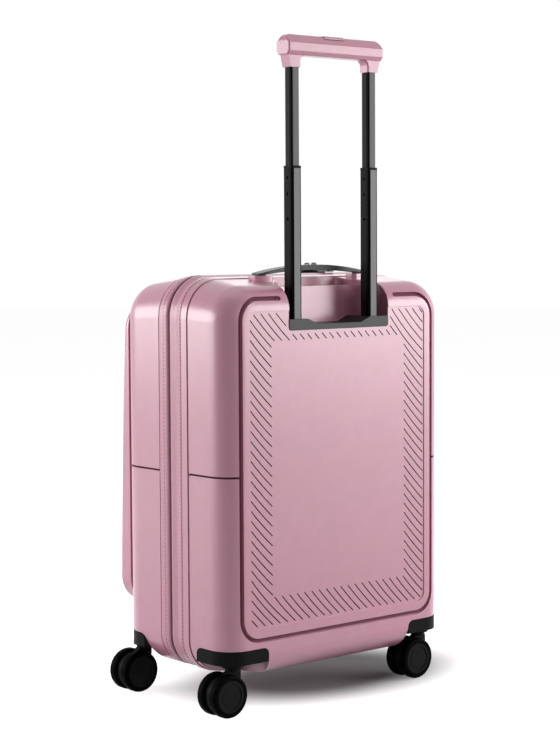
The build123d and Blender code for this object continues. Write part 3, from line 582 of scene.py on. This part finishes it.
# Fabric band between the halves: a soft roll with a shallow valley, drawn in at its two seams.
# A lip of tape runs on under the zip teeth and stops at the middle of the zip.
CLOTH_STEP, LIP_GAP, LIP_TOP, LIP_UNDER = 5.0, 0.05, 3.3, 3.9
band_lip, tape_lip = ZIP_Y - LIP_GAP - band_y, ZIP_Y + LIP_GAP - tape_y
BAND_PROFILE = (
    (3.5, 1.5), (2.4, 1.3), (0.9, 1.5), (0.1, 2.3), (0.0, 4.0), (0.3, 7.5), (1.3, 11.5), (1.5, 14.0),
    (0.9, 18.0), (0.2, 21.5), (0.3, 23.6), (1.4, 25.4), (3.0, 26.1), (LIP_TOP, 26.2),
    (LIP_TOP, band_lip), (LIP_UNDER, band_lip), (LIP_UNDER, 25.5), (3.5, 25.0), (3.5, 13.0),
)
band, loop_length = swept_ring("fabric_band", [(d, band_y + y) for d, y in BAND_PROFILE], CLOTH_STEP)
dress(band, fabric, "expander", "band", "expander_band")

# Tape on the front half, with a lip of its own.
TAPE_PROFILE = (
    (LIP_UNDER, 1.0), (LIP_UNDER, tape_lip), (LIP_TOP, tape_lip), (LIP_TOP, 0.1), (3.0, 0.1), (1.4, 0.8),
    (0.3, 2.6), (0.0, 5.0), (0.05, 9.0), (0.0, 16.5), (0.35, 18.0), (1.0, 18.4), (3.5, 18.4), (3.5, 9.0),
    (3.5, 1.0),
)
tape, _ = swept_ring("front_tape_cloth", [(d, tape_y + y) for d, y in TAPE_PROFILE], CLOTH_STEP)
dress(tape, fabric, "front", "band", "front_zip_tape")

# Teeth of the main zip, in two rows that meet in the slit and stand on the lips.
TOOTH_PITCH, TOOTH_LENGTH, TOOTH_TOP, TOOTH_SLIM = 2.4, 1.3, 1.3, 0.8
TOOTH_ROOT, TOOTH_GAP = 0.3, 0.1
teeth = case_stations(ZIP_Y, TOOTH_PITCH)
for name, y_low, y_high, body, replaced in (
    ("rear_teeth_row", band_high[1] - TOOTH_ROOT, ZIP_Y - TOOTH_GAP, "expander", "rear_zip_teeth"),
    ("front_teeth_row", ZIP_Y + TOOTH_GAP, tape_y + TOOTH_ROOT, "front", "front_zip_teeth"),
):
    row = bricks(name, teeth, TOOTH_LENGTH, y_low, y_high, TOOTH_TOP, LIP_TOP, TOOTH_SLIM)
    dress(row, zip_look, body, "zip", replaced)

# One row of stitches along the rear of the band and one along the tape, a little proud of the cloth.
STITCH_PITCH, STITCH_LENGTH, STITCH_HALF, STITCH_SLIM = 5.2, 3.3, 0.4, 0.6
STITCH_TOP, STITCH_UNDER, BAND_STITCH, TAPE_STITCH = -0.22, 0.4, 3.6, 8.5
for name, y, body in (
    ("band_stitch_rear", band_y + BAND_STITCH, "expander"),
    ("tape_stitch", tape_y + TAPE_STITCH, "front"),
):
    row = bricks(name, case_stations(y, STITCH_PITCH), STITCH_LENGTH, y - STITCH_HALF, y + STITCH_HALF,
                 STITCH_TOP, STITCH_UNDER, STITCH_SLIM)
    dress(row, thread, body, "band")

# Gusset: the pleated cloth folded behind the band, which opens when the case is expanded.
PLEATS, PLEAT_DEPTH, CLOTH_THICK, GUSSET_STEP = 3, 9.0, 0.8, 8.0
REAR_HEM, FRONT_HEM, FOLD_REAR, FOLD_FRONT = 0.3, 0.2, 1.5, 2.0
gusset_rear, gusset_front = gusset_low[1], gusset_high[1]
gusset_depth = HALF_WIDTH - gusset_high[0]
fold_start, fold_end = band_y + FOLD_REAR, gusset_front - FOLD_FRONT
pitch = (fold_end - fold_start) / PLEATS
folds = [(gusset_depth, gusset_rear + REAR_HEM), (gusset_depth, fold_start)]
for i in range(PLEATS):
    folds.append((gusset_depth + PLEAT_DEPTH, fold_start + pitch * (i + 0.5)))
    folds.append((gusset_depth, fold_start + pitch * (i + 1)))
folds.append((gusset_depth, gusset_front - FRONT_HEM))
gusset_profile = folds + [(d + CLOTH_THICK, y) for d, y in reversed(folds)]
gusset, _ = swept_ring("gusset_cloth", gusset_profile, GUSSET_STEP)
gusset.data.materials.append(gusset_look)
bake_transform(gusset)
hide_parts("gusset")

# Pocket zip: a low band round the pocket door that sits on the front face and follows its rounded edge.
front_mesh = nodes["front_shell"].data
front_tree = BVHTree.FromPolygons([v.co for v in front_mesh.vertices],
                                  [p.vertices for p in front_mesh.polygons])


def front_face_y(x, z):
    """Where a line along Y first meets the front shell."""
    hit = front_tree.ray_cast(Vector((x * MM, zip_high[1] * MM, z * MM)), Vector((0, -1, 0)))[0]
    return hit.y / MM


# Its section: steps of (inset, share of the rise), then (inset, drop) of the rounded top edge.
ZIP_CORNER, ZIP_WIDTH, ZIP_STEP, ZIP_SEAT = 34.0, 9.0, 4.0, 0.05
ZIP_STEPS = ((0.25, 0.22), (1.2, 0.30), (1.2, 0.62), (0.2, 0.70))
ZIP_EDGE = ((0.2, 0.4), (0.8, 0.0))
zip_outline = rounded_outline(zip_high[0], zip_low[2], zip_high[2], ZIP_CORNER, ZIP_CORNER)
zip_places, zip_length = spaced(zip_outline[0], ZIP_STEP)
zip_top = zip_high[1]
zip_sections = []
for point, out in zip(*sample(zip_outline, zip_places)):
    outer, inner = (front_face_y(*(point - d * out)) for d in (0.0, ZIP_WIDTH))
    section = [(ZIP_WIDTH, inner + ZIP_SEAT), (0.0, outer + ZIP_SEAT)]
    section += [(d, outer + share * (zip_top - outer)) for d, share in ZIP_STEPS]
    section += [(d, zip_top - drop) for d, drop in ZIP_EDGE]
    section.append((ZIP_WIDTH, zip_top))
    zip_sections.append([(point[0] - d * out[0], y, point[1] - d * out[1]) for d, y in section])
zip_band = ring("pocket_zip_band", zip_sections)
dress(zip_band, fabric, "front", "zip", "pocket_zip")


# Light: soft boxes that face the case, each with its place, width, height and power.
LAMP_TARGET = Vector((0, 0, 0.35))
LAMPS = (
    ("left_box", (-1.88, 1.46, 0.82), 2.2, 1.0, 39),
    ("right_box", (1.98, -1.52, 0.80), 2.1, 1.1, 45),
    ("front_box", (0.30, -2.60, 1.20), 1.0, 1.2, 5),
    ("back_box", (1.60, 2.00, 1.0), 1.0, 1.3, 5),
    ("top_box", (0.0, 0.0, 2.4), 1.6, 1.6, 6),
)
for name, lamp_place, width, height, power in LAMPS:
    light = bpy.data.lights.new(name, "AREA")
    light.shape = "RECTANGLE"
    light.size, light.size_y, light.energy = width, height, power
    lamp = bpy.data.objects.new(name, light)
    scene.collection.objects.link(lamp)
    lamp.location = lamp_place
    lamp.visible_camera = False
    lamp.rotation_euler = (LAMP_TARGET - Vector(lamp_place)).to_track_quat("-Z", "Y").to_euler()


def seen_directly(tree):
    """1 for what the camera sees straight, or in a shiny or clear surface, and 0 for light that bounces."""
    paths = tree.nodes.new("ShaderNodeLightPath")
    seen = paths.outputs["Is Camera Ray"]
    for other in ("Is Glossy Ray", "Is Transmission Ray"):
        either = tree.nodes.new("ShaderNodeMath")
        either.operation = "MAXIMUM"
        tree.links.new(seen, either.inputs[0])
        tree.links.new(paths.outputs[other], either.inputs[1])
        seen = either.outputs[0]
    return seen


# Floor: white to the eye, and a plain grey for the light that it throws back.
# Round the case it is painted darker and doesn't glow: a painted shadow under the case, besides the case's
# own shadow.
FLOOR_RADIUS, FLOOR_SIDES, FLOOR_ROUGH = 14.0 / MM, 96, 0.9
FLOOR_GREY, FLOOR_SHADE, FLOOR_WHITE = (0.25, 0.25, 0.25), (0.35, 0.35, 0.35), (0.95, 0.95, 0.95)
FLOOR_GLOW = 0.85
SHADE_CENTRE, SHADE_REACH, SHADE_EDGE = (0.07, -0.01), (0.25, 0.16), (0.45, 1.15)
WHITE = (1, 1, 1, 1)
floor_turns = [2 * math.pi * i / FLOOR_SIDES for i in range(FLOOR_SIDES)]
floor_ring = [(FLOOR_RADIUS * math.cos(turn), FLOOR_RADIUS * math.sin(turn), 0) for turn in floor_turns]
floor = mesh_piece("floor", floor_ring, [tuple(range(FLOOR_SIDES))], smooth=False)
floor_look = material("floor_white", FLOOR_GREY, FLOOR_ROUGH, specular=0.0)
floor_seen = seen_directly(floor_look.node_tree)
floor_offsets = [
    calc(floor_look, "DIVIDE", calc(floor_look, "SUBTRACT", at, centre), reach)
    for at, centre, reach in zip(axes(floor_look), SHADE_CENTRE, SHADE_REACH)
]
clear = ramp(floor_look, diagonal(floor_look, *floor_offsets), *SHADE_EDGE)
# Painted shadow: the floor's colour darkens towards the case.
floor_tone = mixed(floor_look, clear, FLOOR_SHADE, FLOOR_WHITE)
paint(floor_look, mixed(floor_look, floor_seen, FLOOR_GREY, floor_tone))
shader_input(floor_look, "Emission Color").default_value = WHITE
glow = product(floor_look, clear, FLOOR_GLOW, floor_seen)
floor_look.node_tree.links.new(glow, shader_input(floor_look, "Emission Strength"))
floor.data.materials.append(floor_look)

# World: white to the eye, and a weak fill on the case.
WORLD_FILL, WORLD_SEEN = 0.14, 1.0
world = bpy.data.worlds.new("studio")
scene.world = world
world.use_nodes = True
sky = world.node_tree
background = sky.nodes["Background"]
background.inputs["Color"].default_value = WHITE
strength = sky.nodes.new("ShaderNodeMapRange")
strength.inputs["To Min"].default_value = WORLD_FILL
strength.inputs["To Max"].default_value = WORLD_SEEN
sky.links.new(seen_directly(sky), strength.inputs["Value"])
sky.links.new(strength.outputs["Result"], background.inputs["Strength"])

# Camera at the photograph's viewing angle.
AZIMUTH, ELEVATION, ROLL = (math.radians(a) for a in (-40.53, 4.07, -0.31))
EYE, LENS, SENSOR_HEIGHT, CLIP_END = (-1.6332, -1.91915, 0.5953), 91.06, 36.0, 60
level = math.cos(ELEVATION)
backward = Vector((math.sin(AZIMUTH) * level, -math.cos(AZIMUTH) * level, math.sin(ELEVATION)))
right = (-backward).cross(Vector((0, 0, 1))).normalized()
up = right.cross(-backward).normalized()
right_rolled = math.cos(ROLL) * right + math.sin(ROLL) * up
up_rolled = -math.sin(ROLL) * right + math.cos(ROLL) * up
camera = bpy.data.cameras.new("camera")
camera.sensor_fit = "VERTICAL"
camera.sensor_height = SENSOR_HEIGHT
camera.lens = LENS
camera.clip_end = CLIP_END
eye = bpy.data.objects.new("camera", camera)
scene.collection.objects.link(eye)
turn = Matrix((right_rolled, up_rolled, backward)).transposed().to_4x4()
eye.matrix_world = Matrix.Translation(EYE) @ turn
scene.camera = eye
scene.view_settings.view_transform = "Standard"
